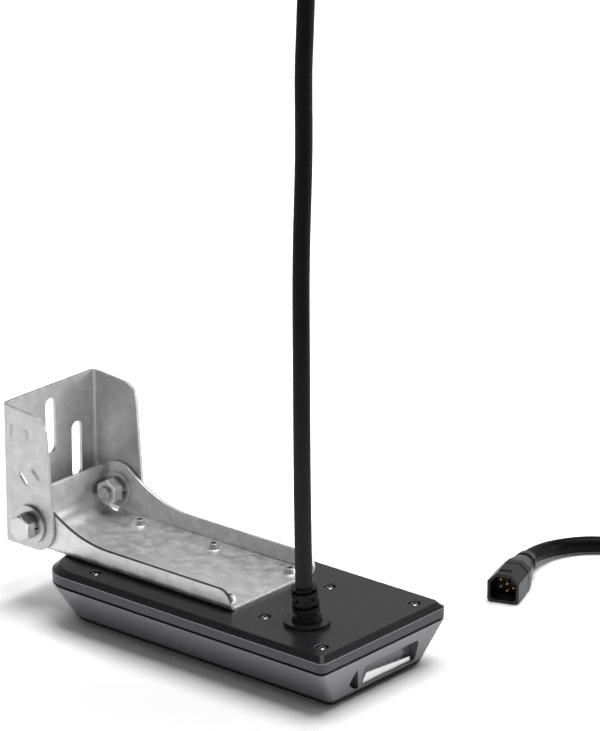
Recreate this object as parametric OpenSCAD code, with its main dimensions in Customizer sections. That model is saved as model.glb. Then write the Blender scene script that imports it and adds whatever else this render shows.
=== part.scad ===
// Transom-mount sonar transducer: a potted housing on a folded stainless arm,
// a transom bracket that tilts on two bolts, and a cable that ends in a seven-pin plug.
// +X runs from the pivot to the cable end, +Z is up, and the housing rests on Z = 0.

/* [Housing] */
// Length of the housing from the middle of its nose to the cable end
housing_length = 169.6; // [150:0.2:200]
// Width of the housing at the parting line
housing_width = 85; // [76:1:110]
// Height of the tub, from its sole to the parting line
tub_height = 20; // [18:0.5:30]
// How far each long side leans in from the parting line to the sole
side_taper = 12.5; // [6:0.5:15]
// How far the cable end leans in from the parting line to the sole
end_taper = 5; // [2:0.5:9]
// How far the nose leans in from the parting line to the sole
nose_taper = 3; // [2:0.5:10]
// Radius of the corners at the cable end
end_corner_radius = 3; // [2:0.5:8]
// Radius of the corners at the nose
nose_corner_radius = 15; // [10:0.5:20]
// How far the middle of the nose stands ahead of its corners
nose_bulge = 4; // [0:0.5:8]
// Radius that eases the edge of the sole
sole_edge = 2.5; // [0.5:0.25:3]
// Thickness of the tub's side walls
tub_wall = 3; // [2:0.25:4]
// Thickness of the sole
sole_thickness = 3; // [2:0.25:5]
// Thickness of the wall at the cable end, which holds the sensor pocket
end_wall = 9; // [7:0.5:14]

/* [Lid] */
// Height of the lid's rim and top together
lid_height = 6.8; // [6:0.2:12]
// Thickness of the lid's top
lid_thickness = 3.6; // [2.4:0.2:5]
// Thickness of the lid's rim
lid_rim = 3; // [2:0.25:5]
// Chamfer round the lid's top edge
lid_chamfer = 2.4; // [1:0.2:3.5]
// Thickness of the seal between tub and lid, seen as the black parting line
seal_thickness = 1.2; // [0.4:0.1:1.5]
// How far the seal lies back from the parting line's outline
seal_setback = 1; // [0.5:0.1:1.5]
// Width of the seal
seal_width = 2; // [1:0.1:2.5]

/* [Lid screws] */
// Thread diameter of a lid screw
lid_screw_d = 2.5; // [2:0.1:3.5]
// Head diameter of a lid screw
lid_screw_head_d = 4.6; // [4:0.1:6]
// Head height of a lid screw
lid_screw_head_h = 1.8; // [1:0.1:2]
// How deep a head's top lies below the lid's top
lid_screw_recess = 0.3; // [0.2:0.1:0.6]
// Diameter of the recess round a lid screw's head
lid_recess_d = 6.2; // [5.4:0.1:6.6]
// Distance of the end pair of screws from the cable end
end_screw_x = 9.5; // [7:0.5:14]
// Distance of the end pair of screws from the middle line
end_screw_y = 31.5; // [28:0.5:34]
// Distance of the middle pair of screws from the cable end
mid_screw_x = 49.8; // [44:0.2:54]
// Distance of the middle pair of screws from the middle line
mid_screw_y = 22; // [20:0.5:28]
// Distance of the nose pair of screws from the cable end
nose_screw_x = 139.6; // [130:0.2:142]
// Distance of the nose pair of screws from the middle line
nose_screw_y = 33; // [32.8:0.2:34]
// Diameter of the posts that the lid screws bite into
post_d = 7; // [6:0.5:8]

/* [Sensor pocket] */
// Width of the pocket in the cable end
pocket_w = 37; // [30:1:44]
// Height of the pocket
pocket_h = 10.5; // [7:0.5:11]
// Depth of the pocket below the face
pocket_depth = 3; // [2:0.25:4]
// Height of the pocket's lower edge
pocket_z = 4.5; // [3.5:0.25:6]
// How far the pocket's middle lies to the side of the middle line
pocket_y = 6.5; // [0:0.5:8]
// Width of the deep notch beside the pocket
notch_w = 7; // [4:0.5:8]
// Wall between the notch and the pocket
notch_gap = 1.75; // [1:0.25:4]
// Height of the metal sensor bar at its near end
bar_h = 4.5; // [3:0.25:5]
// Height of the metal sensor bar at its far end
bar_tip_h = 2.25; // [1.5:0.25:3]
// How far the bar's near end leans back from foot to top
bar_lean = 3; // [0:0.25:4]
// Thickness of the metal sensor bar
bar_t = 2; // [1:0.25:2.5]

/* [Arm] */
// Thickness of the folded sheet of arm and bracket
sheet = 1.6; // [1.2:0.1:1.8]
// Width of the arm over its two flanges
arm_width = 57.6; // [50:0.4:58.4]
// Distance of the arm's front edge from the cable end
arm_front = 63.6; // [58:0.2:67]
// Height of the flanges along the lid
flange_height = 9.5; // [8:0.5:11.5]
// Radius of the flanges' front corner
flange_corner = 7; // [4:0.5:7.5]
// Radius of the round lobe of each flange at the pivot
lobe_radius = 12.9; // [11.9:0.1:12.9]
// Radius of the curve that sweeps each flange up to its lobe
sweep_radius = 60; // [40:1:70]
// Inside radius of the folds
fold_radius = 2; // [1:0.25:3]
// Inside radius of the bend at the arm's rear end
rear_bend = 8; // [6:0.5:9]
// Distance of the arm's rear face behind the pivot
rear_reach = 8.8; // [8.6:0.1:9]
// Height of the arm's rear edge above the pivot
rear_rise = 10.5; // [8:0.5:10.5]
// Relief between the arm's rear end and each flange
rear_relief = 2; // [1.8:0.1:3]
// Distance of the first pair of arm screws from the cable end
arm_screw_x = 71.6; // [69.6:0.2:75]
// Spacing of the arm screws along the arm
arm_screw_pitch = 45; // [40:0.5:45.5]
// Distance of the arm screws from the middle line
arm_screw_y = 20.5; // [16:0.5:21]
// Thread diameter of an arm screw
arm_screw_d = 4; // [3:0.25:4.5]
// Head diameter of an arm screw
arm_screw_head_d = 7; // [6:0.25:8]
// Head height of an arm screw
arm_screw_head_h = 2.2; // [1.5:0.1:3]
// Diameter of the bosses under the lid that take the arm screws
boss_d = 8.5; // [7:0.5:9]

/* [Transom bracket] */
// Height of the bracket's top edge above the pivot
bracket_rise = 54; // [45:0.5:65]
// Depth of the bracket's foot below the pivot
bracket_drop = 11.8; // [11:0.2:12]
// Distance of the bracket's back face behind the pivot
bracket_back = 17.4; // [15.8:0.1:18]
// Distance of the ears' front edge ahead of the pivot, at the top
ear_reach = 9.9; // [8:0.1:11]
// Distance of the ears' front edge ahead of the pivot, at the pivot
ear_bulge = 13.4; // [12:0.1:13.8]
// Radius of the ears' lower front corner
ear_foot_radius = 10.8; // [8:0.2:11.6]
// Radius of the ears' upper front corner
ear_corner = 7.5; // [3:0.5:8]
// How far an ear's top edge falls from the back to the front
ear_fall = 1.8; // [0:0.1:4]
// Inside radius of the bends between back plate and ears
ear_bend = 2; // [1:0.25:2]
// Width of the mounting slots
slot_w = 6.6; // [6:0.2:8]
// Length of the mounting slots
slot_length = 27; // [20:0.5:30]
// Spacing of the mounting slots across the back plate
slot_pitch = 17; // [14:0.5:18]
// Distance of the middle slot's upper end from the bracket's top edge
mid_slot_drop = 6; // [3:0.25:8]
// Distance of the outer slots' upper ends from the bracket's top edge
side_slot_drop = 22; // [14:0.5:24]
// Width of the narrow slits in the ear on the near side
slit_w = 2.3; // [1.5:0.1:3]
// Length of the narrow slits
slit_length = 7; // [5:0.25:8]

/* [Pivot] */
// Height of the pivot above the lid
pivot_rise = 12; // [11:0.1:12.4]
// Distance of the pivot behind the nose
pivot_gap = 11.2; // [11:0.1:14]
// Diameter of the pivot bolts
bolt_d = 6.3; // [5:0.1:7]
// Radial clearance of the ears on the bolts
bolt_clearance = 0.06; // [0.03:0.01:0.1]
// Width across the flats of the bolt heads and nuts
hex_flats = 11; // [9:0.25:13]
// Height of the bolt heads
bolt_head_h = 4.6; // [3.5:0.1:6]
// Height of the nuts
nut_h = 5.4; // [4:0.1:7]
// Outside diameter of the flat washers
washer_d = 18; // [15:0.25:19]
// Thickness of the flat washers
washer_t = 1.5; // [1:0.1:2]
// Outside diameter of the lock washers
lock_washer_d = 11.8; // [10.5:0.1:13]
// Thickness of the lock washers
lock_washer_t = 1.6; // [1:0.1:2.2]
// Length of bolt that stands out past the nut
bolt_end = 2; // [1:0.25:4]
// Running gap between each ear and its neighbours on the bolt
ear_gap = 0.3; // [0.2:0.05:0.6]

/* [Cable entry] */
// Distance of the cable entry from the cable end
entry_x = 31.1; // [26:0.1:34]
// Distance of the cable entry to the near side of the middle line
entry_y = 15.6; // [12:0.2:18]
// Diameter of the entry's flat ring
ring_d = 20.5; // [18:0.5:24]
// Thickness of the entry's flat ring
ring_t = 1.6; // [1:0.1:3]
// Diameter of the strain relief at its foot
boot_d = 13; // [12.4:0.2:14]
// Diameter of the strain relief at its top
boot_top_d = 11.6; // [11:0.2:12.4]
// Length of the strain relief above the lid
boot_h = 17; // [15:0.5:22]
// Depth of the windows between the strain relief's ribs
rib_depth = 1.6; // [0.6:0.1:1.6]
// Height of the windows between the strain relief's ribs
window_h = 1.6; // [1:0.1:2]
// Angle by which the strain relief leans with its cable
boot_lean = 5.5; // [0:0.5:8]
// Diameter of the strain relief's stem in the lid
stem_d = 9.6; // [9:0.2:10.4]

/* [Cable] */
// Diameter of the cable
cable_d = 7.6; // [7.6:0.1:8]
// Radius of the coil to the middle of its turns
coil_radius = 44.9; // [43:0.1:46]
// Turns that lie side by side in the coil
coil_wide = 3; // [3:1:4]
// Turns that lie on each other in the coil
coil_high = 6; // [6:1:7]
// Thickness of the ties round the coil
tie_t = 1.2; // [0.8:0.1:2]
// Width of the ties round the coil
tie_w = 4.8; // [3:0.2:8]

/* [Plug] */
// Width of the plug's shroud
plug_w = 15; // [13:0.25:18]
// Height of the plug's shroud
plug_h = 14; // [13:0.25:16]
// Length of the shroud
shroud_length = 14; // [13.5:0.25:18]
// Wall of the shroud
shroud_wall = 1.3; // [1:0.1:1.8]
// Size of the two chamfers that key the shroud
key_chamfer = 4; // [3:0.25:5]
// Depth of the shroud's open mouth
mouth_depth = 12; // [10:0.25:12.25]
// Length of the shell behind the shroud
shell_length = 14; // [11:0.25:18]
// Length of the cable collar behind the shell
collar_length = 7; // [5:0.25:10]
// Diameter of the cable collar
collar_d = 11; // [10:0.25:12]
// Diameter of the contact pins
pin_d = 1.2; // [0.8:0.1:1.6]
// Radius of the ring of six pins
pin_circle = 3.5; // [3:0.1:4]
// Length of the pins inside the mouth
pin_length = 4.5; // [3:0.25:5]
// Thickness of the insulator that carries the pins
insert_t = 2; // [1.5:0.25:2.5]
// Thickness of the seal between shroud and shell
plug_seal_t = 1.4; // [0.8:0.1:2]

/* [Inside] */
// Level of the potting above the sole's underside
potting_level = 16; // [13:0.5:17]
// Length of the side-looking elements
side_element_length = 110; // [80:1:116]
// Width of the side-looking elements
side_element_w = 7; // [5:0.5:7.5]
// Thickness of the side-looking elements
side_element_t = 3; // [2:0.25:3.5]
// Length of the down-looking bar
down_element_length = 70; // [50:1:76]
// Width of the down-looking bar
down_element_w = 8; // [5:0.5:12]
// Height of the down-looking bar
down_element_h = 5; // [3:0.25:6]
// Diameter of the round sonar element
disc_d = 28; // [20:0.5:30]
// Height of the round sonar element
disc_h = 6; // [4:0.25:7]
// Thickness of the backing pads
backing_t = 2; // [1:0.25:3]
// Distance of the round element's middle from the nose
disc_setback = 32; // [28:0.5:36]
// Gap between the round element and the down-looking bar
element_gap = 7; // [3:0.5:9]
// Length of the terminal board
board_length = 34; // [24:0.5:36]
// Width of the terminal board
board_width = 30; // [20:0.5:32]
// Thickness of the terminal board
board_t = 1.6; // [1:0.1:2]
// Distance of the terminal board from the cable end
board_setback = 18; // [14:0.5:20]

/* [Hidden] */

$fn = 48;
// How far a cutter reaches past the face it opens
cut = 1;
// Clearance of a piece in the hole or seat made for it
fit = 0.1;
// Clearance of a piece that is set in potting or tied
set_clear = 0.2;
// Thickness of the slices that the housing is drawn over
thin = 0.01;

// The object's length over bracket and housing puts the origin under its middle
overall_length = housing_length + pivot_gap + bracket_back;
end_x = overall_length / 2;
nose_x = end_x - housing_length;
half_w = housing_width / 2;
seam_z = tub_height + seal_thickness;
lid_z = seam_z + lid_height;
pivot_x = nose_x - pivot_gap;
pivot_z = lid_z + pivot_rise;
sides = [-1, 1];

// Where the screws stand, as pairs on both sides of the middle line
lid_screw_pairs = [
  [end_x - end_screw_x, end_screw_y],
  [end_x - mid_screw_x, mid_screw_y],
  [end_x - nose_screw_x, nose_screw_y]
];
arm_screw_rows = [for (i = [0:2]) end_x - arm_screw_x - i * arm_screw_pitch];
lid_head_z = lid_z - lid_screw_recess - lid_screw_head_h;
screw_hole_z = tub_height / 2;

// Widths of the stack on each pivot bolt, outward from the arm's flange
flange_y = arm_width / 2;
ear_inner_y = flange_y + ear_gap;
ear_outer_y = ear_inner_y + sheet;
washer_y = ear_outer_y + ear_gap;
lock_y = washer_y + washer_t;
head_y = lock_y + lock_washer_t;
inner_washer_y = flange_y - sheet - washer_t;
inner_lock_y = inner_washer_y - lock_washer_t;
nut_y = inner_lock_y - nut_h;
inner_washer_d = washer_d - 1.8;
hex_corners = hex_flats / cos(30);
hex_chamfer = 0.8;
lock_split = 0.8;

// The arm's ends, and the bend at its rear
arm_x = end_x - arm_front;
rear_x = pivot_x - rear_reach;
bend_outer = rear_bend + sheet;
bend_x = rear_x + bend_outer;
bend_z = lid_z + bend_outer;

// Centre of the curve that touches the flange's straight edge and its lobe
sweep_z = lid_z + flange_height + sweep_radius;
sweep_d = lobe_radius + sweep_radius;
sweep_x = pivot_x + sqrt(pow(sweep_d, 2) - pow(sweep_z - pivot_z, 2));
sweep_turn = acos((sweep_z - pivot_z) / sweep_d);
arc_steps = 16;

// The bracket's back face, top edge and foot, and its slots and slits
back_x = pivot_x - bracket_back;
top_z = pivot_z + bracket_rise;
foot_z = pivot_z - bracket_drop;
slots = [[-slot_pitch, side_slot_drop], [0, mid_slot_drop], [slot_pitch, side_slot_drop]];
slits = [[-11.1, 45.4, 0], [-1.5, 45, 0], [-6.7, 23.2, 42], [0.8, 27.3, 42]];

// Places of the elements and the terminal board inside the tub
disc_x = nose_x + disc_setback;
down_x = disc_x + (disc_d + down_element_length) / 2 + element_gap;
element_x = end_x - (end_screw_x + nose_screw_x) / 2;

// The strain relief's upright foot, and the middle of its leaning top
entry = [end_x - entry_x, -entry_y];
boot_foot = ring_t + 1.4;
boot_rise = boot_h - boot_foot;
boot_lean_to = 220;
boot_side = boot_rise * sin(boot_lean) * [cos(boot_lean_to), sin(boot_lean_to)];
boot_top = [entry[0] + boot_side[0], entry[1] + boot_side[1], lid_z + boot_foot + boot_rise * cos(boot_lean)];

// Route of the cable from the strain relief to the coil, held upright by its own stiffness
run_points = [
  boot_top, [66.4, -16.9, 90], [66.2, -17.2, 140], [66, -17.2, 190], [66.8, -16.5, 240],
  [67, -16.4, 285], [70, -14, 328], [82, -4, 359], [104, 12, 380], [130, 31, 387], [157, 50, 380],
  [180.5, 65.5, 359], [194, 74.5, 328], [199, 77.2, 290], [201.5, 78, 240], [203.5, 78.8, 190],
  [205.5, 79.2, 150], [207, 79.5, 115], [207.3, 79.9, 84], [203.8, 84, 63],
  [194.4, 95.2, 48.4], [186, 105.1, 43.6], [180, 112.2, 43.1]
];
// Route of the cable from the coil to the plug's tail
coil_place = [207.3, 161];
plug_place = [66.6, 143.4];
plug_turn = -70;
plug_axis_z = plug_h / 2;
lead_points = [
  [152, 145.2, 4.6], [136, 164.3, 4.2], [121.3, 181.9, 4], [106.1, 192.2, 4], [87.7, 192.8, 4],
  [71.8, 183.6, 4], [63.2, 167.4, 4.6], [64.5, 149.1, 6.6], [plug_place[0], plug_place[1], plug_axis_z]
];
cable_sides = 10;
rings_per_span = 2;

// The coil's section holds its turns, and its ties pass under it
coil_w = coil_wide * cable_d;
coil_h = coil_high * cable_d;
coil_z = tie_t;
tie_places = [30, 120, 300];

// Places of the plug's pieces along its axis, from the cable to the mouth
plug_seal_x = collar_length + shell_length;
shroud_x = plug_seal_x + plug_seal_t;
plug_length = shroud_x + shroud_length;
mouth_x = plug_length - mouth_depth;
ring_pins = 6;
pin_places = concat(
  [[0, 0]],
  [for (i = [1:ring_pins]) pin_circle * [sin(360 * i / ring_pins), cos(360 * i / ring_pins)]]
);
plug_edge = 2;
seal_inset = 0.9;
shell_inset = 0.2;
latch = [3, 6];
latch_setback = 6;
collar_neck = 2.5;

// Lean of the tub's outline at a height above the sole, from 1 at the sole to 0 at the seam
function lean(z) = 1 - z / tub_height;

// A thin slice of the housing's plan at height z, set in from the parting line's outline
module plan_slice(z, side_in, end_in, nose_in) {
  corner_y = half_w - side_in;
  for (s = sides) {
    translate([end_x - end_in - end_corner_radius, s * (corner_y - end_corner_radius), z])
      cylinder(r = end_corner_radius, h = thin, $fn = 32);
    translate([nose_x + nose_in + nose_bulge + nose_corner_radius, s * (corner_y - nose_corner_radius), z])
      cylinder(r = nose_corner_radius, h = thin, $fn = 32);
    translate([nose_x + nose_in + nose_corner_radius, s * corner_y / 3, z])
      cylinder(r = nose_corner_radius, h = thin, $fn = 32);
  }
}

// A slice of the tub, set in by a wall from its leaning outside
module tub_slice(z, wall, wall_end) {
  plan_slice(z, side_taper * lean(z) + wall, end_taper * lean(z) + wall_end, nose_taper * lean(z) + wall);
}

// The housing's plan at the parting line, set in on all sides
module plan_outline(inset) {
  side_y = half_w - inset;
  end_corner = [end_x - inset - end_corner_radius, side_y - end_corner_radius];
  corner = [nose_x + inset + nose_bulge + nose_corner_radius, side_y - nose_corner_radius];
  middle = [nose_x + inset + nose_corner_radius, side_y / 3];
  along = middle - corner;
  outward = nose_corner_radius * [along[1], -along[0]] / norm(along);
  upper = [
    end_corner + [end_corner_radius, 0],
    end_corner + [0, end_corner_radius],
    corner + [0, nose_corner_radius],
    corner + outward,
    middle + outward,
    middle - [nose_corner_radius, 0]
  ];
  lower = [for (i = [len(upper) - 1:-1:0]) [upper[i][0], -upper[i][1]]];
  polygon(concat(upper, lower));
  for (s = sides) {
    translate([end_corner[0], s * end_corner[1]])
      circle(end_corner_radius);
    translate([corner[0], s * corner[1]])
      circle(nose_corner_radius);
    translate([middle[0], s * middle[1]])
      circle(nose_corner_radius);
  }
}

// A straight-sided block of the housing's plan from z0 to z1
module plan_block(z0, z1, inset) {
  translate([0, 0, z0])
    linear_extrude(z1 - z0)
      plan_outline(inset);
}

// The hollow of the tub up to height z1
module tub_hollow(z1) {
  hull() {
    tub_slice(sole_thickness, tub_wall, end_wall);
    tub_slice(z1 - thin, tub_wall, end_wall);
  }
}

// The posts inside the tub that take the lid screws
module posts(grow) {
  for (p = lid_screw_pairs, s = sides)
    translate([p[0], s * p[1], sole_thickness])
      cylinder(d = post_d + 2 * grow, h = tub_height - sole_thickness);
}

// Pocket and notch in the cable end, both open at the face
module pocket_cut() {
  depth_x = end_x - end_taper * lean(pocket_z) - pocket_depth;
  r = 2;
  translate([depth_x, pocket_y - pocket_w / 2, pocket_z])
    rotate([90, 0, 90])
      linear_extrude(end_wall + end_taper)
        rounded_rectangle(pocket_w, pocket_h, r);
  translate([depth_x, pocket_y - pocket_w / 2 - notch_gap, pocket_z])
    rotate([90, 0, 90])
      linear_extrude(end_wall + end_taper)
        polygon([
          [0, 0], [-notch_w / 3, 0], [-notch_w, pocket_h / 3], [-notch_w, pocket_h / 2], [-notch_w / 2, pocket_h]
        ]);
}

// A rectangle with round corners and one corner at the origin
module rounded_rectangle(w, h, r) {
  translate([r, 0])
    square([w - 2 * r, h]);
  translate([0, r])
    square([w, h - 2 * r]);
  for (x = [r, w - r], y = [r, h - r])
    translate([x, y])
      circle(r);
}

// The tapered tub with its hollow, screw posts and sensor pocket
module housing_tub() {
  color([0.42, 0.42, 0.44])
    difference() {
      union() {
        difference() {
          hull() {
            for (turn = [0:30:90]) {
              inset = sole_edge * (1 - sin(turn));
              tub_slice(sole_edge * (1 - cos(turn)), inset, inset);
            }
            tub_slice(tub_height - thin, 0, 0);
          }
          tub_hollow(tub_height + cut);
        }
        intersection() {
          posts(0);
          hull() {
            tub_slice(0, tub_wall / 2, tub_wall / 2);
            tub_slice(tub_height - thin, tub_wall / 2, tub_wall / 2);
          }
        }
      }
      for (p = lid_screw_pairs, s = sides)
        translate([p[0], s * p[1], screw_hole_z])
          cylinder(d = lid_screw_d + fit, h = tub_height);
      pocket_cut();
    }
}

// The lid: a chamfered cap, hollow below, with bosses for the screws of the arm
module housing_lid() {
  color([0.28, 0.28, 0.3])
    difference() {
      union() {
        plan_block(seam_z, lid_z - lid_chamfer, 0);
        hull() {
          plan_slice(lid_z - lid_chamfer - set_clear, fit, fit, fit);
          plan_slice(lid_z - thin, lid_chamfer, lid_chamfer, lid_chamfer);
        }
      }
      difference() {
        plan_block(seam_z - cut, lid_z - lid_thickness, lid_rim);
        for (x = arm_screw_rows, s = sides)
          translate([x, s * arm_screw_y, seam_z])
            cylinder(d = boss_d, h = lid_height);
        for (p = lid_screw_pairs, s = sides)
          translate([p[0], s * p[1], seam_z])
            cylinder(d = post_d, h = lid_height);
      }
      for (p = lid_screw_pairs, s = sides)
        translate([p[0], s * p[1], 0]) {
          cylinder(d = lid_screw_d + 4 * fit, h = lid_z + cut);
          translate([0, 0, lid_head_z])
            cylinder(d = lid_recess_d, h = lid_height);
        }
      for (x = arm_screw_rows, s = sides)
        translate([x, s * arm_screw_y, seam_z + cut])
          cylinder(d = arm_screw_d + fit, h = lid_height);
      translate([entry[0], entry[1], seam_z - cut])
        cylinder(d = stem_d + 2 * fit, h = lid_height + 2 * cut);
    }
}

// The black seal that shows as the parting line
module lid_seal() {
  color([0.06, 0.06, 0.06])
    difference() {
      plan_block(tub_height, seam_z, seal_setback);
      plan_block(tub_height - cut, seam_z + cut, seal_setback + seal_width);
    }
}

// Six self-tapping screws with crowned heads, sunk in the lid's top
module lid_screws() {
  tip_z = screw_hole_z + cut;
  skirt_h = lid_screw_head_h / 2;
  crown_h = (lid_screw_head_h - skirt_h) / 2;
  color([0.75, 0.75, 0.74])
    for (p = lid_screw_pairs, s = sides)
      translate([p[0], s * p[1], 0])
        difference() {
          union() {
            translate([0, 0, tip_z])
              cylinder(d = lid_screw_d, h = lid_head_z - tip_z);
            translate([0, 0, lid_head_z]) {
              cylinder(d = lid_screw_head_d, h = skirt_h);
              translate([0, 0, skirt_h])
                cylinder(d1 = lid_screw_head_d, d2 = lid_screw_head_d * 0.86, h = crown_h);
              translate([0, 0, skirt_h + crown_h])
                cylinder(d1 = lid_screw_head_d * 0.86, d2 = lid_screw_head_d * 0.6, h = crown_h);
            }
          }
          translate([0, 0, lid_head_z + skirt_h])
            cylinder(d = lid_screw_head_d * 0.4, h = lid_height, $fn = 6);
        }
}

// The metal temperature sensor bar that lies in the pocket of the cable end
module temperature_bar() {
  bar_w = pocket_w - 4;
  depth_x = end_x - end_taper * lean(pocket_z) - pocket_depth;
  color([0.86, 0.86, 0.85])
    translate([depth_x, pocket_y - bar_w / 2, pocket_z])
      rotate([90, 0, 90])
        linear_extrude(bar_t)
          polygon([[0, 0], [bar_w, 0], [bar_w, bar_tip_h], [bar_lean, bar_h], [bar_lean / 3, bar_h / 2]]);
}

// A side-looking element's block, flat against the leaning wall on side s, grown on all sides
module side_element_block(s, grow) {
  slope = atan2(side_taper, tub_height);
  foot_y = half_w - side_taper * lean(sole_thickness) - tub_wall;
  translate([element_x - side_element_length / 2 - grow, s * foot_y, sole_thickness])
    mirror([0, s > 0 ? 0 : 1, 0])
      rotate([-slope, 0, 0])
        translate([0, -side_element_t - fit - grow, side_element_t - grow])
          cube([
            side_element_length + 2 * grow,
            side_element_t + 2 * grow,
            side_element_w + 2 * grow
          ]);
}

module side_element_near() {
  color([0.85, 0.8, 0.65])
    side_element_block(-1, 0);
}

module side_element_far() {
  color([0.85, 0.8, 0.65])
    side_element_block(1, 0);
}

// The down-looking bar on the sole
module down_element() {
  color([0.85, 0.8, 0.65])
    translate([down_x - down_element_length / 2, -down_element_w / 2, sole_thickness])
      cube([down_element_length, down_element_w, down_element_h]);
}

// The round element of the wide sonar beam
module sonar_disc() {
  color([0.82, 0.78, 0.62])
    translate([disc_x, 0, sole_thickness])
      cylinder(d = disc_d, h = disc_h);
}

// Cork pads behind the down-looking bar and the round element
module backing_pads() {
  color([0.55, 0.4, 0.25]) {
    translate([down_x - down_element_length / 2, -down_element_w / 2, sole_thickness + down_element_h])
      cube([down_element_length, down_element_w, backing_t]);
    translate([disc_x, 0, sole_thickness + disc_h])
      cylinder(d = disc_d, h = backing_t);
  }
}

// The potting that fills the tub round the elements
module potting() {
  color([0.15, 0.15, 0.16])
    difference() {
      tub_hollow(potting_level);
      posts(set_clear);
      for (s = sides)
        side_element_block(s, set_clear);
      translate([down_x - down_element_length / 2, -down_element_w / 2, 0])
        cube([down_element_length, down_element_w, sole_thickness + down_element_h + backing_t]);
      translate([disc_x, 0, 0])
        cylinder(d = disc_d + 2 * set_clear, h = sole_thickness + disc_h + backing_t);
    }
}

// The board where the cable's wires meet the elements
module terminal_board() {
  color([0.1, 0.35, 0.2])
    translate([end_x - board_setback - board_length, -board_width / 2, potting_level])
      cube([board_length, board_width, board_t]);
}

// Runs a side view, drawn in X and Z, across a width of w about the middle line
module across(w) {
  translate([0, w / 2, 0])
    rotate([90, 0, 0])
      linear_extrude(w)
        children();
}

// A trough's outline of width w with round lower corners, standing on the X axis
module trough(w, r, depth) {
  translate([-w / 2, r])
    square([w, depth - r]);
  translate([r - w / 2, 0])
    square([w - 2 * r, 2 * r]);
  for (s = sides)
    translate([s * (w / 2 - r), r])
      circle(r);
}

// A folded channel's section: a trough of sheet with an inside fold radius
module folded_section(w, r, depth) {
  difference() {
    trough(w, r + sheet, depth);
    translate([0, sheet])
      trough(w - 2 * sheet, r, depth);
  }
}

// Places a piece on the pivot bolt of side s, with its Z axis pointing outward
module on_pivot(s) {
  translate([pivot_x, 0, pivot_z])
    rotate([-90 * s, 0, 0])
      children();
}

// Points of an arc about c from angle a0 to a1
function arc(c, r, a0, a1) = [
  for (i = [0:arc_steps]) let (a = a0 + (a1 - a0) * i / arc_steps) c + r * [cos(a), sin(a)]
];

// Side view of a flange: straight edge, round front corner, sweep, lobe and relieved heel
module flange_view() {
  corner = [arm_x - flange_corner, lid_z + flange_height - flange_corner];
  heel_z = lid_z + fold_radius + sheet;
  polygon(concat(
    [[bend_x, lid_z], [arm_x, lid_z]],
    arc(corner, flange_corner, 0, 90),
    arc([sweep_x, sweep_z], sweep_radius, -90, -90 - sweep_turn),
    arc([pivot_x, pivot_z], lobe_radius, 90 - sweep_turn, 90 + asin(rear_reach / lobe_radius)),
    [[rear_x, bend_z], [bend_x - bend_outer / 2, heel_z], [bend_x, heel_z]]
  ));
}

// Side view of the arm's rear end, which bends up behind the pivot
module rear_view() {
  intersection() {
    translate([bend_x, bend_z])
      difference() {
        circle(bend_outer);
        circle(rear_bend);
      }
    translate([rear_x, lid_z])
      square(bend_outer);
  }
  translate([rear_x, bend_z])
    square([sheet, pivot_z + rear_rise - bend_z]);
  translate([bend_x, lid_z])
    square([cut, sheet]);
}

// The folded stainless arm: a plate with upturned flanges that carry the pivot
module arm() {
  inner_w = arm_width - 2 * sheet;
  color([0.68, 0.68, 0.67])
    difference() {
      union() {
        intersection() {
          translate([rear_x - cut, 0, lid_z])
            rotate([90, 0, 90])
              linear_extrude(arm_x - rear_x + 2 * cut)
                folded_section(arm_width, fold_radius, pivot_rise + 2 * lobe_radius);
          across(arm_width + cut)
            flange_view();
        }
        across(inner_w - 2 * rear_relief)
          rear_view();
      }
      for (x = arm_screw_rows, s = sides)
        translate([x, s * arm_screw_y, lid_z - cut])
          cylinder(d = arm_screw_d + 4 * fit, h = sheet + 2 * cut);
      for (s = sides)
        on_pivot(s)
          translate([0, 0, flange_y - sheet - cut])
            cylinder(d = bolt_d + 2 * fit, h = sheet + 2 * cut);
    }
}

// Six pan-head screws that hold the arm on the lid
module arm_screws() {
  tip_z = seam_z + 2 * cut;
  head_z = lid_z + sheet;
  color([0.8, 0.8, 0.79])
    for (x = arm_screw_rows, s = sides)
      translate([x, s * arm_screw_y, 0])
        difference() {
          union() {
            translate([0, 0, tip_z])
              cylinder(d = arm_screw_d, h = head_z - tip_z);
            translate([0, 0, head_z])
              cylinder(d1 = arm_screw_head_d, d2 = arm_screw_head_d * 0.7, h = arm_screw_head_h);
          }
          translate([0, 0, head_z + arm_screw_head_h / 2])
            cylinder(d = arm_screw_head_d * 0.4, h = arm_screw_head_h, $fn = 6);
        }
}

// Side view of an ear of the transom bracket
module ear_view() {
  front_x = pivot_x + ear_reach;
  bulge_x = pivot_x + ear_bulge;
  front_z = top_z - ear_fall;
  polygon([
    [back_x, foot_z],
    [bulge_x - ear_foot_radius, foot_z],
    [bulge_x, foot_z + ear_foot_radius],
    [front_x, front_z - ear_corner],
    [front_x - ear_corner, front_z],
    [back_x, top_z]
  ]);
  translate([bulge_x - ear_foot_radius, foot_z + ear_foot_radius])
    circle(ear_foot_radius);
  translate([front_x - ear_corner, front_z - ear_corner])
    circle(ear_corner);
}

// An upright slot of width w and length l with round ends, its upper end at the origin
module slot(w, l) {
  translate([-w / 2, w / 2 - l])
    square([w, l - w]);
  for (y = [-w / 2, w / 2 - l])
    translate([0, y])
      circle(w / 2);
}

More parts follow.
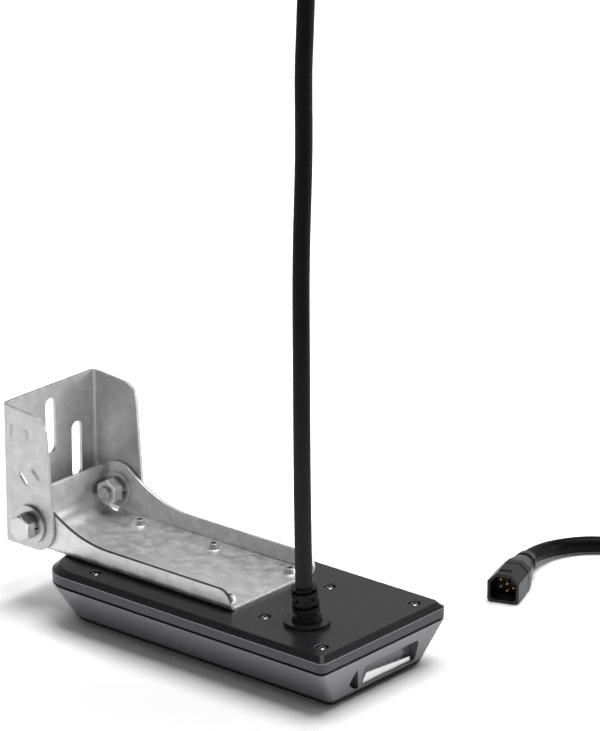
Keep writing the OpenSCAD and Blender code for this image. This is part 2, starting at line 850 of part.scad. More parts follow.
// The folded transom bracket: slotted back plate and two ears that turn on the bolts
module transom_bracket() {
  color([0.66, 0.66, 0.65])
    difference() {
      intersection() {
        translate([back_x, 0, foot_z - cut])
          linear_extrude(top_z - foot_z + 2 * cut)
            rotate(-90)
              folded_section(2 * ear_outer_y, ear_bend, 3 * ear_bulge);
        across(2 * ear_outer_y + cut)
          ear_view();
      }
      for (p = slots)
        translate([back_x - cut, p[0], top_z - p[1]])
          rotate([90, 0, 90])
            linear_extrude(sheet + 2 * cut)
              slot(slot_w, slot_length);
      for (p = slits)
        translate([pivot_x + p[0], -ear_inner_y + cut, pivot_z + p[1]])
          rotate([90, 0, 0])
            linear_extrude(sheet + 2 * cut)
              rotate(p[2])
                slot(slit_w, slit_length);
      for (s = sides)
        on_pivot(s)
          translate([0, 0, ear_inner_y - cut])
            cylinder(d = bolt_d + 2 * bolt_clearance, h = sheet + 2 * cut);
    }
}

// A hexagon of the bolt heads and nuts, chamfered at its outer end
module hexagon(h) {
  intersection() {
    rotate(30)
      cylinder(d = hex_corners, h = h, $fn = 6);
    union() {
      cylinder(d = hex_corners + cut, h = h - hex_chamfer);
      translate([0, 0, h - hex_chamfer])
        cylinder(d1 = hex_corners + cut, d2 = hex_flats - hex_chamfer, h = hex_chamfer);
    }
  }
}

// Two hexagon bolts, heads outside the ears
module pivot_bolts() {
  color([0.78, 0.78, 0.77])
    for (s = sides)
      on_pivot(s) {
        translate([0, 0, nut_y - bolt_end])
          cylinder(d = bolt_d, h = head_y - nut_y + bolt_end);
        translate([0, 0, head_y])
          hexagon(bolt_head_h);
      }
}

// A washer of each side, standing from y outward
module washers(y, d, t, split) {
  for (s = sides)
    on_pivot(s)
      translate([0, 0, y])
        difference() {
          cylinder(d = d, h = t);
          translate([0, 0, -cut])
            cylinder(d = bolt_d + 2 * fit, h = t + 2 * cut);
          if (split)
            translate([0, -lock_split / 2, -cut])
              cube([d, lock_split, t + 2 * cut]);
        }
}

module outer_washers() {
  color([0.72, 0.72, 0.71])
    washers(washer_y, washer_d, washer_t, false);
}

module outer_lock_washers() {
  color([0.62, 0.62, 0.61])
    washers(lock_y, lock_washer_d, lock_washer_t, true);
}

module inner_washers() {
  color([0.72, 0.72, 0.71])
    washers(inner_washer_y, inner_washer_d, washer_t, false);
}

module inner_lock_washers() {
  color([0.62, 0.62, 0.61])
    washers(inner_lock_y, lock_washer_d, lock_washer_t, true);
}

// Two nuts inside the flanges
module pivot_nuts() {
  color([0.76, 0.76, 0.75])
    for (s = sides)
      on_pivot(s)
        difference() {
          translate([0, 0, nut_y + nut_h])
            mirror([0, 0, 1])
              hexagon(nut_h);
          translate([0, 0, nut_y - cut])
            cylinder(d = bolt_d + 2 * fit, h = nut_h + 2 * cut);
        }
}

// The flat ring round the cable entry
module entry_ring() {
  color([0.12, 0.12, 0.13])
    translate([entry[0], entry[1], lid_z])
      difference() {
        cylinder(d = ring_d, h = ring_t);
        translate([0, 0, -cut])
          cylinder(d = boot_d + 2 * fit, h = ring_t + 2 * cut);
      }
}

// The strain relief, moulded on the cable: a stem in the lid, a foot, and a leaning sleeve whose
// windows open to the sides and to front and back by turns
module strain_relief() {
  levels = 4;
  pitch = boot_rise / levels;
  window_turn = 125;
  foot_step = 0.4;
  lap = cut / 2;
  color([0.07, 0.07, 0.07])
    translate([entry[0], entry[1], lid_z]) {
      translate([0, 0, -lid_height])
        cylinder(d = stem_d, h = lid_height + cut);
      cylinder(d = boot_d, h = boot_foot);
      translate([0, 0, boot_foot])
        rotate([0, boot_lean, boot_lean_to])
          difference() {
            translate([0, 0, -lap])
              cylinder(d1 = boot_d - 2 * foot_step, d2 = boot_top_d, h = boot_rise + lap);
            for (i = [0:levels - 1], side = sides)
              translate([0, 0, (i + 1) * pitch - window_h - lap])
                rotate(90 * (i - 1 + side) - window_turn / 2)
                  rotate_extrude(angle = window_turn)
                    translate([boot_top_d / 2 - rib_depth, 0])
                      square([boot_d, window_h]);
          }
    }
}

function unit(v) = v / norm(v);

// A point of the smooth curve through the route's points, u from 0 to 1 between points i and i + 1
function curve_point(p, i, u) =
  let (
    a = p[max(i - 1, 0)],
    b = p[i],
    c = p[i + 1],
    d = p[min(i + 2, len(p) - 1)]
  )
  0.5 * (2 * b + u * (c - a) + u * u * (2 * a - 5 * b + 4 * c - d) + u * u * u * (3 * b - a - 3 * c + d));

function smooth_route(p) = concat(
  [for (i = [0:len(p) - 2], k = [0:rings_per_span - 1]) curve_point(p, i, k / rings_per_span)],
  [p[len(p) - 1]]
);

function headings(q) = [
  for (i = [0:len(q) - 1]) unit(q[min(i + 1, len(q) - 1)] - q[max(i - 1, 0)])
];

// Side directions carried along the headings without twist
function carry(t, n, i) =
  i == len(t) ? [] :
  let (m = unit(n - (n * t[i]) * t[i]))
  concat([m], carry(t, m, i + 1));

// A round tube along a route
module tube(route) {
  q = smooth_route(route);
  t = headings(q);
  n = carry(t, [0.8, -0.6, 0.1], 0);
  rings = len(q);
  points = [
    for (i = [0:rings - 1], k = [0:cable_sides - 1])
      let (turn = 360 * k / cable_sides)
      q[i] + cable_d / 2 * (cos(turn) * n[i] + sin(turn) * cross(t[i], n[i]))
  ];
  walls = [
    for (i = [0:rings - 2], k = [0:cable_sides - 1])
      let (m = (k + 1) % cable_sides, row = i * cable_sides, next = row + cable_sides)
      [row + k, next + k, next + m, row + m]
  ];
  ends = [
    [for (k = [0:cable_sides - 1]) k],
    [for (k = [1:cable_sides]) rings * cable_sides - k]
  ];
  polyhedron(points, concat(walls, ends));
}

module cable_run() {
  color([0.09, 0.09, 0.09])
    tube(run_points);
}

module plug_lead() {
  color([0.09, 0.09, 0.09])
    tube(lead_points);
}

// The outer form of the coiled cable
module cable_coil() {
  color([0.09, 0.09, 0.09])
    translate([coil_place[0], coil_place[1], coil_z])
      rotate_extrude($fn = 96)
        translate([coil_radius - coil_w / 2, 0])
          rounded_rectangle(coil_w, coil_h, cable_d / 2);
}

// Three ties round the coil, each with its square head on top
module coil_ties() {
  tie_angle = tie_w / coil_radius * 180 / PI;
  hole_w = coil_w + 2 * set_clear;
  hole_h = coil_h + set_clear;
  color([0.13, 0.13, 0.13])
    translate([coil_place[0], coil_place[1], 0])
      for (a = tie_places)
        rotate(a) {
          rotate_extrude(angle = tie_angle, $fn = 96)
            translate([coil_radius - hole_w / 2, 0])
              difference() {
                translate([-tie_t, 0])
                  square([hole_w + 2 * tie_t, hole_h + 2 * tie_t]);
                translate([0, tie_t])
                  square([hole_w, hole_h]);
              }
          translate([coil_radius, 0, hole_h + 2 * tie_t - fit])
            cube([tie_w, tie_w, 2 * tie_t]);
        }
}

// Places a piece on the plug's axis: local X runs from the cable to the mouth
module at_plug(x) {
  translate([plug_place[0], plug_place[1], 0])
    rotate(plug_turn)
      translate([x, 0, 0])
        children();
}

// The shroud's keyed outline, drawn in Y and Z and set in by a wall
module keyed_outline(wall) {
  r = plug_edge;
  w = plug_w / 2 - wall;
  top = plug_h - wall;
  c = key_chamfer - wall * 0.6;
  polygon([
    [r - w, wall], [w - r, wall], [w, wall + r], [w, top - c],
    [w - c, top], [c - w, top], [-w, top - c], [-w, wall + r]
  ]);
  for (s = sides)
    translate([s * (w - r), wall + r])
      circle(r);
}

// Runs a view of the plug, drawn in Y and Z, along its axis
module along_plug(l) {
  rotate([90, 0, 90])
    linear_extrude(l)
      children();
}

// The keyed shroud with its open mouth and the latch window in its top
module plug_shroud() {
  color([0.12, 0.12, 0.13])
    at_plug(shroud_x)
      difference() {
        along_plug(shroud_length)
          keyed_outline(0);
        translate([shroud_length - mouth_depth, 0, 0])
          along_plug(mouth_depth + cut)
            keyed_outline(shroud_wall);
        translate([shroud_length - latch_setback, -latch[1] / 2, plug_h - shroud_wall - cut])
          cube([latch[0], latch[1], shroud_wall + 2 * cut]);
      }
}

// The insulator at the bottom of the mouth that carries the pins
module plug_insert() {
  color([0.05, 0.05, 0.05])
    at_plug(mouth_x)
      difference() {
        along_plug(insert_t)
          keyed_outline(shroud_wall + fit);
        for (p = pin_places)
          translate([-cut, p[0], plug_axis_z + p[1]])
            rotate([0, 90, 0])
              cylinder(d = pin_d + fit, h = insert_t + 2 * cut);
      }
}

// Seven gold-plated pins
module plug_pins() {
  color([0.85, 0.68, 0.3])
    at_plug(mouth_x)
      for (p = pin_places)
        translate([0, p[0], plug_axis_z + p[1]])
          rotate([0, 90, 0]) {
            cylinder(d = pin_d, h = insert_t + pin_length - pin_d);
            translate([0, 0, insert_t + pin_length - pin_d])
              cylinder(d1 = pin_d, d2 = pin_d / 2, h = pin_d / 2);
          }
}

// The seal in the groove between shroud and shell
module plug_seal() {
  color([0.03, 0.03, 0.03])
    at_plug(plug_seal_x)
      along_plug(plug_seal_t)
        keyed_outline(seal_inset);
}

// The shell that narrows from the shroud to the collar
module plug_shell() {
  color([0.14, 0.14, 0.15])
    at_plug(collar_length)
      hull() {
        translate([0, 0, plug_axis_z])
          rotate([0, 90, 0])
            cylinder(d = collar_d, h = cut, $fn = 32);
        translate([shell_length * 0.7, 0, 0])
          along_plug(shell_length * 0.3)
            keyed_outline(shell_inset);
      }
}

// The stepped collar where the cable enters the plug
module plug_collar() {
  color([0.1, 0.1, 0.11])
    at_plug(0)
      translate([0, 0, plug_axis_z])
        rotate([0, 90, 0]) {
          cylinder(d1 = collar_d - cut, d2 = collar_d, h = collar_length - collar_neck);
          translate([0, 0, collar_length - collar_neck])
            cylinder(d = collar_d - cut, h = collar_neck);
        }
}

housing_tub();
housing_lid();
lid_seal();
lid_screws();
temperature_bar();
side_element_near();
side_element_far();
down_element();
sonar_disc();
backing_pads();
potting();
terminal_board();
arm();
arm_screws();
transom_bracket();
pivot_bolts();
outer_washers();
outer_lock_washers();
inner_washers();
inner_lock_washers();
pivot_nuts();
entry_ring();
strain_relief();
cable_run();
cable_coil();
coil_ties();
plug_lead();
plug_shroud();
plug_insert();
plug_pins();
plug_seal();
plug_shell();
plug_collar();
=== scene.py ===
"""Transom-mount sonar transducer: camera and cord, finishes for the CAD pieces, floor and light.

Lengths are in metres unless a comment says otherwise.
"""

import math

import bpy
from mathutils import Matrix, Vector


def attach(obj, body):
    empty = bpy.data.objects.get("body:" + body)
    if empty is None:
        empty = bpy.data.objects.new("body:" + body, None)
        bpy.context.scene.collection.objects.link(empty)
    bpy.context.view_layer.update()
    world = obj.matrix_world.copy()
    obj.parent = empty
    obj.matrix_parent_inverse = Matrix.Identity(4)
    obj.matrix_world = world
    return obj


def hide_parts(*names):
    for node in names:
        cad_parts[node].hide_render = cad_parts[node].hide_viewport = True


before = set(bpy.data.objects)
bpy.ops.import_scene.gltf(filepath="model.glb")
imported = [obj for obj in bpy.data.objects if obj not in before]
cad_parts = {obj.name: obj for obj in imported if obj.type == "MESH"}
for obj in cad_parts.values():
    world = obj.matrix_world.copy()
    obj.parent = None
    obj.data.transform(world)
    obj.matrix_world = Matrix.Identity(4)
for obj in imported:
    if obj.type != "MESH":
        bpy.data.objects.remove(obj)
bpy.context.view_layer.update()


def show(name, data):
    """Puts a new object into the scene."""
    made = bpy.data.objects.new(name, data)
    bpy.context.scene.collection.objects.link(made)
    return made


def aim_along(direction):
    """Angles that point a camera or a lamp along a direction."""
    return Vector(direction).to_track_quat("-Z", "Y").to_euler()


# Camera, fitted to the photograph's edges

CAMERA_PLACE = (1.155135, -1.307149, 0.748276)
CAMERA_DIRECTION = (-0.607827, 0.719473, -0.336012)
LENS_MM = 208.74
SENSOR_MM = 36.0
CLIP_END = 50.0

camera_data = bpy.data.cameras.new("camera")
camera_data.lens = LENS_MM
camera_data.sensor_width = SENSOR_MM
camera_data.clip_end = CLIP_END
camera = show("camera", camera_data)
camera.location = CAMERA_PLACE
camera.rotation_euler = aim_along(CAMERA_DIRECTION)
bpy.context.scene.camera = camera

# Cord: up from the strain relief, over, down into its coil and back to the plug.
# The route repeats the points of the part's source, in millimetres.

CABLE = 0.0076
MM_PER_M = 1000
RUN = [
    (66.97, -16.46, 44.94), (66.4, -16.9, 90), (66.2, -17.2, 140), (66, -17.2, 190),
    (66.8, -16.5, 240), (67, -16.4, 285), (70, -14, 328), (82, -4, 359), (104, 12, 380),
    (130, 31, 387), (157, 50, 380), (180.5, 65.5, 359), (194, 74.5, 328), (199, 77.2, 290),
    (201.5, 78, 240), (203.5, 78.8, 190), (205.5, 79.2, 150), (207, 79.5, 115),
    (207.3, 79.9, 84), (203.8, 84, 63), (194.4, 95.2, 48.4), (186, 105.1, 43.6), (180, 112.2, 43.1),
]
LEAD = [
    (152, 145.2, 4.6), (136, 164.3, 4.2), (121.3, 181.9, 4), (106.1, 192.2, 4), (87.7, 192.8, 4),
    (71.8, 183.6, 4), (63.2, 167.4, 4.6), (64.5, 149.1, 6.6), (66.6, 143.4, 7),
]
COIL_CENTRE = (207.3, 161)
COIL_RADII = (52.5, 44.9, 37.3)
COIL_TOP = 43.0
COIL_START = math.radians(220)
COIL_LAYERS = 6
LAYER_DROP = 7.6
STEP_DEG = 12
STEPS_PER_TURN = 360 // STEP_DEG
CROSSING = 0.2  # share of a turn in which the cable passes over to the next turn
POINT_SPACING = 4.0
CABLE_FACETS = 5


def ease(u):
    """Smooth step from 0 to 1."""
    u = min(max(u, 0.0), 1.0)
    return u * u * (3 - 2 * u)


def coil_points():
    """Centre line of the coil: layer on layer, in and out by turns."""
    turns = []
    for layer in range(COIL_LAYERS):
        order = COIL_RADII if layer % 2 == 0 else COIL_RADII[::-1]
        turns += [(radius, COIL_TOP - LAYER_DROP * layer) for radius in order]
    last = len(turns) - 1
    points = []
    for k in range(len(turns) * STEPS_PER_TURN + 1):
        turn, step = divmod(k, STEPS_PER_TURN)
        here = turns[min(turn, last)]
        after = turns[min(turn + 1, last)]
        weight = ease((step / STEPS_PER_TURN - (1 - CROSSING)) / CROSSING)
        radius = here[0] + (after[0] - here[0]) * weight
        height = here[1] + (after[1] - here[1]) * weight
        angle = COIL_START - math.radians(STEP_DEG) * k
        points.append((
            COIL_CENTRE[0] + radius * math.cos(angle),
            COIL_CENTRE[1] + radius * math.sin(angle),
            height,
        ))
    return points


def smooth(points):
    """Points along a smooth curve through the given ones, with no overshoot where they lie close."""
    p = [Vector(q) for q in points]
    p = [2 * p[0] - p[1]] + p + [2 * p[-1] - p[-2]]
    out = []
    for a, b, c, d in zip(p, p[1:], p[2:], p[3:]):
        t1 = (b - a).length ** 0.5
        t2 = t1 + (c - b).length ** 0.5
        t3 = t2 + (d - c).length ** 0.5
        count = max(2, round((c - b).length / POINT_SPACING))
        for k in range(count):
            t = t1 + (t2 - t1) * k / count
            ab = a * ((t1 - t) / t1) + b * (t / t1)
            bc = b * ((t2 - t) / (t2 - t1)) + c * ((t - t1) / (t2 - t1))
            cd = c * ((t3 - t) / (t3 - t2)) + d * ((t - t2) / (t3 - t2))
            abc = ab * ((t2 - t) / t2) + bc * (t / t2)
            bcd = bc * ((t3 - t) / (t3 - t1)) + cd * ((t - t1) / (t3 - t1))
            out.append(abc * ((t2 - t) / (t2 - t1)) + bcd * ((t - t1) / (t2 - t1)))
    return out + [p[-2]]


route = [q / MM_PER_M for q in smooth(RUN + coil_points() + LEAD)]

cord_data = bpy.data.curves.new("cord", "CURVE")
cord_data.dimensions = "3D"
cord_data.bevel_depth = 1.0
cord_data.bevel_resolution = CABLE_FACETS
cord_data.use_fill_caps = True
spline = cord_data.splines.new("POLY")
spline.points.add(len(route) - 1)
for point, spot in zip(spline.points, route):
    point.co = (*spot, 1)
    point.radius = CABLE / 2
spline.use_smooth = True
cord = show("cord", cord_data)
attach(cord, "transducer")
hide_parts("cable_run", "cable_coil", "plug_lead")

# Helpers for the node trees of the finishes


def new_finish(name):
    """A new material, its node tree and its principled surface."""
    finish = bpy.data.materials.new(name)
    finish.use_nodes = True
    return finish, finish.node_tree, finish.node_tree.nodes["Principled BSDF"]


def feed(tree, socket, value):
    """Links another socket to this one, or fills in a value."""
    if isinstance(value, bpy.types.NodeSocket):
        tree.links.new(value, socket)
    else:
        socket.default_value = value


def add(tree, kind, inputs=None, **settings):
    """Adds a shader node, sets it up and feeds its inputs."""
    made = tree.nodes.new("ShaderNode" + kind)
    for key, value in settings.items():
        setattr(made, key, value)
    for key, value in (inputs or {}).items():
        feed(tree, made.inputs[key], value)
    return made


def set_surface(tree, surface, **inputs):
    """Feeds the principled surface by socket name, with _ for a space."""
    for key, value in inputs.items():
        feed(tree, surface.inputs[key.replace("_", " ")], value)


def place(tree):
    """Where a point lies in the part's frame."""
    return add(tree, "TexCoord").outputs["Object"]


def along(tree, vector, axis):
    """One coordinate of a vector."""
    return add(tree, "SeparateXYZ", {0: vector}).outputs[axis]


def distance_from(tree, spot):
    """How far a point lies from a spot."""
    return add(
        tree, "VectorMath", {0: place(tree), 1: spot}, operation="DISTANCE"
    ).outputs["Value"]


def combine(tree, operation, first, second):
    """One number made of two."""
    return add(tree, "Math", {0: first, 1: second}, operation=operation).outputs[0]


def noise(tree, scale, detail, roughness=0.55):
    """Noise about 0.5; scale counts features per metre."""
    return add(
        tree,
        "TexNoise",
        {"Vector": place(tree), "Scale": scale, "Detail": detail, "Roughness": roughness},
    ).outputs["Fac"]


def spread(tree, value, low, high, from_low=0.3, from_high=0.7, way="LINEAR"):
    """Goes from low to high while the value goes from from_low to from_high."""
    return add(
        tree,
        "MapRange",
        {"Value": value, "From Min": from_low, "From Max": from_high, "To Min": low, "To Max": high},
        interpolation_type=way,
    ).outputs["Result"]


def blend(tree, weight, first, second):
    """Colour between two, by weight."""
    return add(tree, "Mix", {0: weight, 6: first, 7: second}, data_type="RGBA").outputs[2]


def grey(level, blue=0.0):
    """Colour of a grey level with a slight cast."""
    return (level * (1 - blue / 2), level * (1 - blue / 2), level * (1 + blue), 1)


def face_normal(tree):
    """Normal of the surface as it is."""
    return add(tree, "NewGeometry").outputs["Normal"]


def eased_normal(tree, radius):
    """Normal that rounds the edges by a radius."""
    return add(tree, "Bevel", {"Radius": radius}, samples=10).outputs["Normal"]


def edge_mask(tree, radius):
    """1 along sharp edges, 0 on open faces."""
    dot = add(
        tree,
        "VectorMath",
        {0: eased_normal(tree, radius), 1: face_normal(tree)},
        operation="DOT_PRODUCT",
    ).outputs["Value"]
    return spread(tree, dot, 1.0, 0.0, 0.8, 0.995)


def bumped(tree, height, strength, depth, normal):
    """A normal with a pattern pressed into it."""
    return add(
        tree,
        "Bump",
        {"Strength": strength, "Distance": depth, "Height": height, "Normal": normal},
    ).outputs["Normal"]


# Finishes. Patterns are counted in features per metre, tones as shares of a finish's own level.

FINE_DEPTH = 0.0003

PLASTIC_CLOUD = 25
PLASTIC_GRAIN = 2600
PLASTIC_EDGE = 0.0004
PLASTIC_CAST = 0.05
EDGE_WEAR_AND_HIGHLIGHT_CAST = 0.04
CLOUD_TONES = (0.93, 1.07)
GRAIN_TONE = 1.3
GRAIN_WEIGHT = 0.2
GRAIN_BUMP = 0.008
COAT_ROUGHNESS = 0.15
# Painted light on upright faces, and a painted highlight along their top edge:
UPRIGHT_Z = (0.2, 0.5)  # faces whose normal rises less than this are upright
CREST_Z = (0.05, 0.3)  # where the eased normal of an upright face tilts up
CREST_HIGHLIGHT_TONE = 7
# Painted shade towards the bottom edge of the tub:
FOOT_TOP = 7  # times the sole's height
FOOT_SHADE_TONE = 0.36
SOLE_TOP = 1.4  # times the sole's height
SOLE_SHADE_LEVEL = 0.003
SOLE_GLOSS = 0.05


def plastic(name, level, rough=(0.3, 0.4), gloss=0.3, coat=0.0, edge_wear_and_highlight=1.5, upright=None, sole=None):
    """Moulded plastic with a very fine grain and paler edges, part wear and part painted highlight.

    upright is the level of upright faces, painted lighter as a painted reflection of the floor, with a
    painted highlight along their upper edge. sole is the height below which painted shade makes the
    plastic black and dulls its gloss, with painted shade fading out above it.
    """
    finish, tree, surface = new_finish(name)
    cloud = noise(tree, PLASTIC_CLOUD, 3)
    grain = noise(tree, PLASTIC_GRAIN, 2)
    dark, light = (grey(level * share, PLASTIC_CAST) for share in CLOUD_TONES)
    tone = blend(tree, spread(tree, cloud, 0, 1), dark, light)
    tone = blend(tree, spread(tree, grain, 0, GRAIN_WEIGHT), tone, grey(level * GRAIN_TONE, PLASTIC_CAST))
    # Painted light: upright faces are lighter, a painted reflection of the floor, with a painted
    # highlight along their top edge.
    if upright:
        rise = along(tree, face_normal(tree), "Z")
        tilt = along(tree, eased_normal(tree, PLASTIC_EDGE * 2), "Z")
        lit_wall, crest_highlight = grey(upright, PLASTIC_CAST), grey(upright * CREST_HIGHLIGHT_TONE, PLASTIC_CAST)
        side = blend(tree, spread(tree, tilt, 0, 1, *CREST_Z), lit_wall, crest_highlight)
        tone = blend(tree, spread(tree, rise, 1, 0, *UPRIGHT_Z), tone, side)
    # Paler edges: part wear, part painted highlight.
    tone = blend(tree, edge_mask(tree, PLASTIC_EDGE), tone, grey(level * edge_wear_and_highlight, EDGE_WEAR_AND_HIGHLIGHT_CAST))
    # Painted shade: the plastic darkens towards the bottom edge and turns black, with its gloss dulled,
    # in a thin layer at the very bottom.
    if sole:
        height = along(tree, place(tree), "Z")
        foot = (sole, sole * FOOT_TOP)
        band = (sole, sole * SOLE_TOP)
        tone = blend(tree, spread(tree, height, 0, 1, *foot), grey(level * FOOT_SHADE_TONE, PLASTIC_CAST), tone)
        tone = blend(tree, spread(tree, height, 0, 1, *band), grey(SOLE_SHADE_LEVEL), tone)
        gloss = spread(tree, height, SOLE_GLOSS, gloss, *band)
        coat = spread(tree, height, 0.0, coat, *band)
    set_surface(
        tree,
        surface,
        Base_Color=tone,
        Roughness=spread(tree, grain, *rough),
        Normal=bumped(tree, grain, GRAIN_BUMP, FINE_DEPTH, eased_normal(tree, PLASTIC_EDGE)),
        Specular_IOR_Level=gloss,
        Coat_Weight=coat,
        Coat_Roughness=COAT_ROUGHNESS,
    )
    return finish


STEEL_PATCH = 170
STEEL_SPECK = 1020
MOTTLE_ROUGHNESS = 0.65
MOTTLE_RANGE = (0.36, 0.64)
MOTTLE_BUMP = 0.1
SPECK_TONE = 0.7
EDGE_WEAR_AND_HIGHLIGHT_TONE = 1.15
EDGE_ROUGHNESS = 0.22
LIGHTEST_FACE = 0.95
LIGHTEST_EDGE = 0.97
CUT_DARK_REFLECTION_LEVEL = 0.08
CUT_FADE = 0.0001
CUT_Z = (0.1, 0.3)  # a cut edge's normal rises more than this
CREVICE_REACH = 0.003
CREVICE_RANGE = (0.15, 0.7)
CREVICE_SHADE_TONE = 0.12


def steel(
    name, level, rough=(0.42, 0.56), contrast=0.2, edge=0.0002, crevice_shade=True, metal=1.0, dark_edge=None
):
    """Stainless steel: soft mottling, fine speckle, smooth pale edges that are part wear and part painted
    highlight, and painted shade in hollows.

    dark_edge is a Y below which edges that face up are painted dark, a painted reflection of dark
    surroundings.
    """
    finish, tree, surface = new_finish(name)
    mottle = noise(tree, STEEL_PATCH, 5, MOTTLE_ROUGHNESS)
    speck = noise(tree, STEEL_SPECK, 2)
    dark = grey(level * (1 - contrast))
    light = grey(min(level * (1 + contrast / 2), LIGHTEST_FACE))
    tone = blend(tree, spread(tree, mottle, 0, 1, *MOTTLE_RANGE), dark, light)
    tone = blend(tree, spread(tree, speck, 0, contrast), tone, grey(level * SPECK_TONE))
    rim = edge_mask(tree, edge)
    # Paler edges: part wear, part painted highlight.
    tone = blend(tree, rim, tone, grey(min(level * EDGE_WEAR_AND_HIGHLIGHT_TONE, LIGHTEST_EDGE)))
    # Painted reflection: up-facing cut edges below that Y are painted dark, as if mirroring dark
    # surroundings.
    if dark_edge:
        rise = along(tree, face_normal(tree), "Z")
        cut = combine(tree, "MAXIMUM", rim, spread(tree, rise, 0, 1, *CUT_Z))
        dark_reflection = blend(tree, cut, tone, grey(CUT_DARK_REFLECTION_LEVEL))
        inside = spread(tree, along(tree, place(tree), "Y"), 0, 1, dark_edge, dark_edge + CUT_FADE)
        tone = blend(tree, inside, dark_reflection, tone)
    # Painted shade: darker where ambient occlusion finds nearby surfaces, in hollows and between parts.
    if crevice_shade:
        open_air = add(tree, "AmbientOcclusion", {"Distance": CREVICE_REACH}, samples=6).outputs["AO"]
        tone = blend(tree, spread(tree, open_air, 0, 1, *CREVICE_RANGE), grey(level * CREVICE_SHADE_TONE), tone)
    dull = spread(tree, mottle, *rough)
    set_surface(
        tree,
        surface,
        Base_Color=tone,
        Metallic=metal,
        Roughness=add(tree, "Mix", {0: rim, 2: dull, 3: min(rough[0], EDGE_ROUGHNESS)}).outputs[0],
        Normal=bumped(tree, mottle, MOTTLE_BUMP, FINE_DEPTH, eased_normal(tree, edge)),
    )
    return finish


RUBBER_GRAIN = 900
RUBBER_DUST = 60
RUBBER_EDGE = 0.0003
RUBBER_BUMP = 0.05
DUST_TONES = (0.8, 1.3)
LIT_SPOT_REACH = (0.01, 0.12)
LIT_SPOT_TONE = 9
LIT_SPOT_CAST = 0.05
LUMP_DEPTH = 0.002


def rubber(name, level, rough=(0.32, 0.44), gloss=0.2, lumps=0.05, lit_spot=None):
    """Dark rubber or cable jacket with a faint grain, dust and soft lumps; paler round a given point, a
    painted light.
    """
    finish, tree, surface = new_finish(name)
    grain = noise(tree, RUBBER_GRAIN, 3)
    dust = noise(tree, RUBBER_DUST, 5)
    dark, light = (grey(level * share) for share in DUST_TONES)
    tone = blend(tree, spread(tree, dust, 0, 1), dark, light)
    # Painted light: the jacket is paler close to the given point.
    if lit_spot:
        nearness = spread(tree, distance_from(tree, lit_spot), 1, 0, *LIT_SPOT_REACH)
        tone = blend(tree, nearness, tone, grey(level * LIT_SPOT_TONE, LIT_SPOT_CAST))
    lumpy = bumped(tree, dust, lumps, LUMP_DEPTH, eased_normal(tree, RUBBER_EDGE))
    set_surface(
        tree,
        surface,
        Base_Color=tone,
        Roughness=spread(tree, grain, *rough),
        Normal=bumped(tree, grain, RUBBER_BUMP, FINE_DEPTH, lumpy),
        Specular_IOR_Level=gloss,
    )
    return finish


TINTED_EDGE = 0.0001


def tinted(name, dark, light, scale, rough=0.5, metallic=0.0):
    """A two-tone mottled finish for small and inner pieces."""
    finish, tree, surface = new_finish(name)
    cloud = noise(tree, scale, 5)
    set_surface(
        tree,
        surface,
        Base_Color=blend(tree, spread(tree, cloud, 0, 1), (*dark, 1), (*light, 1)),
        Metallic=metallic,
        Roughness=spread(tree, cloud, rough * 0.8, rough * 1.2),
        Normal=eased_normal(tree, TINTED_EDGE),
    )
    return finish


SATIN = (0.24, 0.32)
WASHER = {"rough": (0.28, 0.38), "contrast": 0.06}
PLUG = {"gloss": 0.4, "edge_wear_and_highlight": 6}
STRAIN_RELIEF_TOP = (0.067, -0.017, 0.045)
NEAR_FLANGE_Y = -0.0271

finishes = {
    "housing_tub": plastic("tub_plastic", 0.27, rough=(0.2, 0.28), gloss=0.8, coat=0.4, sole=0.003),
    "housing_lid": plastic("lid_plastic", 0.024, rough=SATIN, gloss=0.34, upright=0.11),
    "lid_seal": rubber("seal_rubber", 0.004),
    "entry_ring": plastic("ring_plastic", 0.018, rough=SATIN),
    "strain_relief": rubber("boot_rubber", 0.008),
    "arm": steel(
        "arm_steel", 0.88, contrast=0.13, edge=0.0006, crevice_shade=False, dark_edge=NEAR_FLANGE_Y
    ),
    "arm_screws": steel("arm_screw_steel", 0.95, rough=(0.26, 0.34), contrast=0.05, metal=0.75),
    "outer_washers": steel("washer_steel", 0.6, **WASHER),
    "inner_washers": steel("inner_washer_steel", 0.85, **WASHER),
    "outer_lock_washers": steel("lock_washer_steel", 0.4, **WASHER),
    "inner_lock_washers": steel("inner_lock_washer_steel", 0.4, **WASHER),
    "pivot_nuts": steel("nut_steel", 0.95, rough=(0.3, 0.4), contrast=0.06, edge=0.0004),
    "transom_bracket": steel("bracket_steel", 0.67, contrast=0.16, crevice_shade=False),
    "plug_shroud": plastic("shroud_plastic", 0.01, **PLUG),
    "plug_shell": plastic("shell_plastic", 0.012, **PLUG),
    "plug_collar": plastic("collar_plastic", 0.01, **PLUG),
    "plug_insert": plastic("insert_plastic", 0.008),
    "plug_seal": rubber("plug_seal_rubber", 0.004),
    "coil_ties": plastic("tie_plastic", 0.012),
    "plug_pins": tinted(
        "gold_plate", (0.85, 0.62, 0.22), (0.97, 0.78, 0.36), 400, rough=0.3, metallic=1.0
    ),
    "temperature_bar": steel("bar_steel", 0.9, rough=(0.25, 0.35), contrast=0.06),
    "lid_screws": steel("lid_screw_steel", 0.36, rough=(0.12, 0.18), contrast=0.1),
    "potting": tinted("potting_resin", (0.015, 0.015, 0.017), (0.03, 0.03, 0.033), 90),
    "backing_pads": tinted("cork", (0.2, 0.11, 0.05), (0.4, 0.25, 0.13), 700, rough=0.85),
    "terminal_board": tinted("board_green", (0.006, 0.05, 0.02), (0.012, 0.1, 0.04), 120, rough=0.35),
}
ceramic = tinted("ceramic", (0.5, 0.42, 0.28), (0.66, 0.58, 0.42), 200, rough=0.6)
bright = steel("screw_steel", 0.7, rough=(0.22, 0.3), contrast=0.06, edge=0.0004)
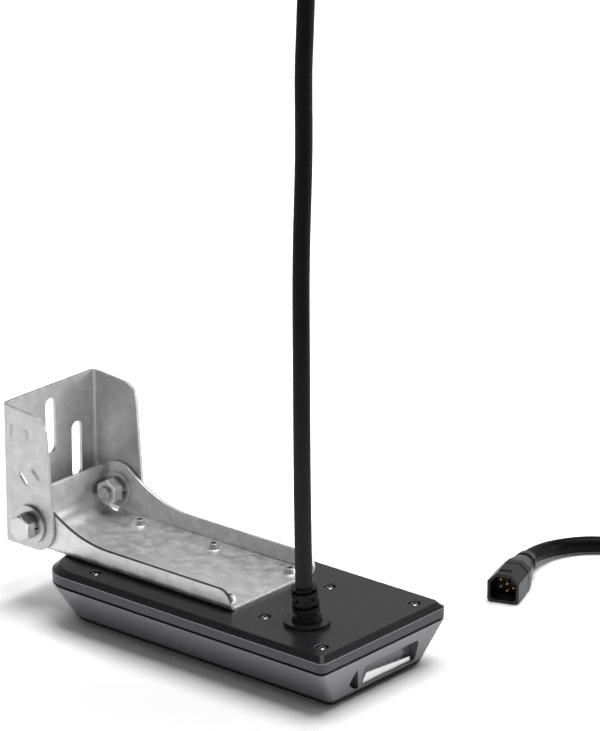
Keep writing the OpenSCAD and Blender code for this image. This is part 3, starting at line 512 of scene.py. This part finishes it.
jacket = rubber(
    "cable_jacket", 0.004, rough=(0.4, 0.5), gloss=0.1, lumps=0.15, lit_spot=STRAIN_RELIEF_TOP
)

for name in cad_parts:
    if name in finishes:
        finish = finishes[name]
    elif "element" in name or name == "sonar_disc":
        finish = ceramic
    else:
        finish = bright
    slots = bpy.data.objects[name].data.materials
    slots.clear()
    slots.append(finish)
cord_data.materials.append(jacket)

# Floor: plain pale paper that takes the shadow. The camera sees it whiter, and whiter still away
# from the part, a painted light that keeps the shadow dark only close to the part. Glossy surfaces mirror
# it as a white studio floor.

FLOOR_HALF = 7.0
FLOOR_HEIGHT = -0.0002
PAPER_CLOUD = 3
PAPER_LEVELS = (0.8, 0.83)
MIRRORED_LEVEL = 1.5
SEEN_LEVELS = (1.46, 2.5)
SEEN_FROM = (0.08, -0.06, 0)
SEEN_REACH = (0.09, 0.32)
PAPER_ROUGHNESS = 0.9


def floor_paper():
    """The floor's finish."""
    finish, tree, surface = new_finish("floor_paper")
    cloud = spread(tree, noise(tree, PAPER_CLOUD, 3), 0, 1)
    tone = blend(tree, cloud, *(grey(level) for level in PAPER_LEVELS))
    path = add(tree, "LightPath").outputs
    mirrored = combine(tree, "MAXIMUM", path["Is Glossy Ray"], path["Is Transmission Ray"])
    tone = blend(tree, mirrored, tone, grey(MIRRORED_LEVEL))
    # Painted light: the floor's tone seen by the camera rises away from the part.
    away = spread(tree, distance_from(tree, SEEN_FROM), 0, 1, *SEEN_REACH)
    seen = blend(tree, away, *(grey(level) for level in SEEN_LEVELS))
    tone = blend(tree, path["Is Camera Ray"], tone, seen)
    set_surface(tree, surface, Base_Color=tone, Roughness=PAPER_ROUGHNESS, Specular_IOR_Level=0.0)
    return finish


floor_mesh = bpy.data.meshes.new("floor")
floor_mesh.from_pydata(
    [(x * FLOOR_HALF, y * FLOOR_HALF, FLOOR_HEIGHT) for x, y in ((-1, -1), (1, -1), (1, 1), (-1, 1))],
    [],
    [(0, 1, 2, 3)],
)
floor_mesh.materials.append(floor_paper())
floor = show("floor", floor_mesh)

# Light: name, place, aim, width and height, power in watts

LAMPS = (
    ("key", (0.08, 0.3, 1.6), (0, 0, 0), (1.2, 1.2), 20),
    ("side", (1.08, 1.08, 0.31), (0.1, 0, 0.03), (0.5, 0.38), 4),
    ("reflector", (-0.1, -0.65, 0.035), (0, -0.04, 0.02), (1.6, 0.06), 0.65),
)

for name, spot, aim, size, power in LAMPS:
    lamp_data = bpy.data.lights.new(name, "AREA")
    lamp_data.shape = "RECTANGLE"
    lamp_data.size, lamp_data.size_y = size
    lamp_data.energy = power
    lamp = show(name, lamp_data)
    lamp.location = spot
    lamp.rotation_euler = aim_along(Vector(aim) - Vector(spot))
    lamp.visible_camera = False

# A studio with a dark ceiling and pale walls behind the part, darker on the near side

CEILING_Z = (0.12, 0.65)
WALL_TO_CEILING = (0.88, 0.05)
NEAR_TO_FAR_Y = (-0.4, 0.5)
NEAR_TO_FAR = (0.25, 1.0)

world = bpy.data.worlds.new("studio")
bpy.context.scene.world = world
world.use_nodes = True
tree = world.node_tree
direction = add(tree, "TexCoord").outputs["Generated"]
walls = spread(tree, along(tree, direction, "Z"), *WALL_TO_CEILING, *CEILING_Z, "SMOOTHSTEP")
far_side = spread(tree, along(tree, direction, "Y"), *NEAR_TO_FAR, *NEAR_TO_FAR_Y, "SMOOTHSTEP")
background = tree.nodes["Background"]
background.inputs["Color"].default_value = grey(1)
tree.links.new(combine(tree, "MULTIPLY", walls, far_side), background.inputs["Strength"])

bpy.context.scene.view_settings.view_transform = "Standard"

bpy.context.view_layer.update()
